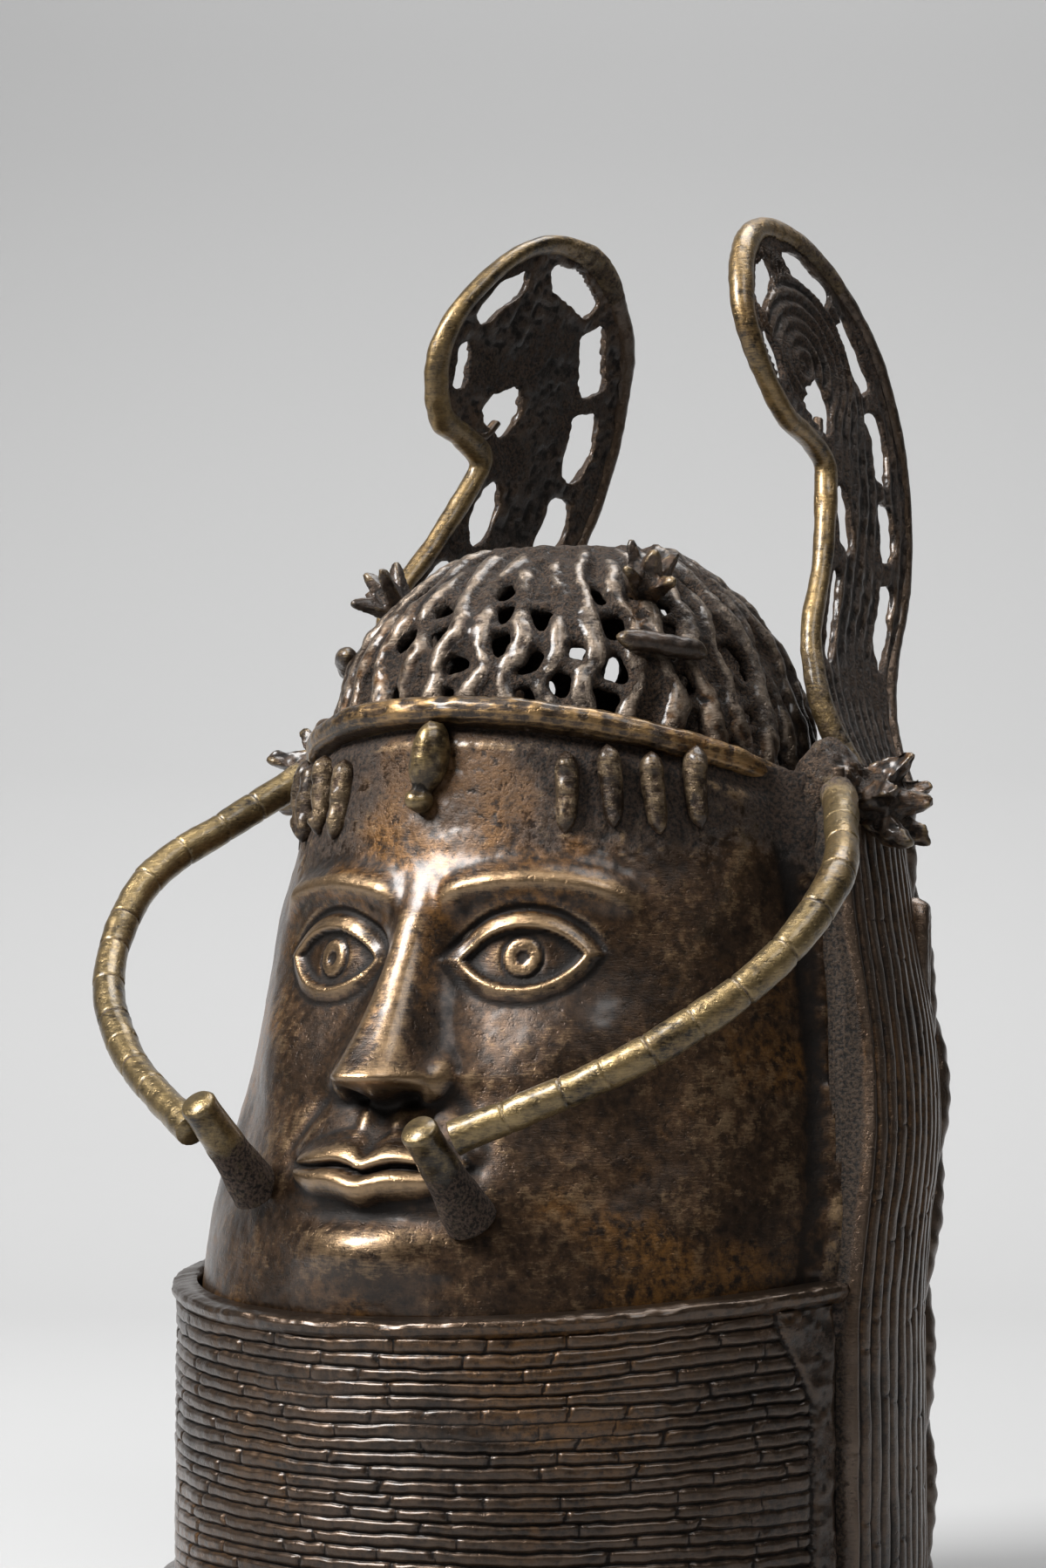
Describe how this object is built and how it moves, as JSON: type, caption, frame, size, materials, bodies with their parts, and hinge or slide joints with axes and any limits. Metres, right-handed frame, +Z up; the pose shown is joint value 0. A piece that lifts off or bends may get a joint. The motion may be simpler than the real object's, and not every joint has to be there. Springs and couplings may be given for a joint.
{
  "type": "benin bronze head",
  "caption": "Hollow bronze altar head with a bead collar, an openwork bead cap, tall openwork wings and rods that arch forward from the temples.",
  "frame": {"origin": "middle of the foot flange's underside, where the head stands", "axes": "+Z up, the face looks along -Y, the figure's left is +X"},
  "size_m": [0.31, 0.31, 0.4822],
  "materials": {
    "bronze": "cast copper alloy, dark brown-black patina, worn to olive gold on rods, edges and stud tips"
  },
  "bodies": {
    "root": {"bronze_head": "bronze"}
  },
  "joints": []
}
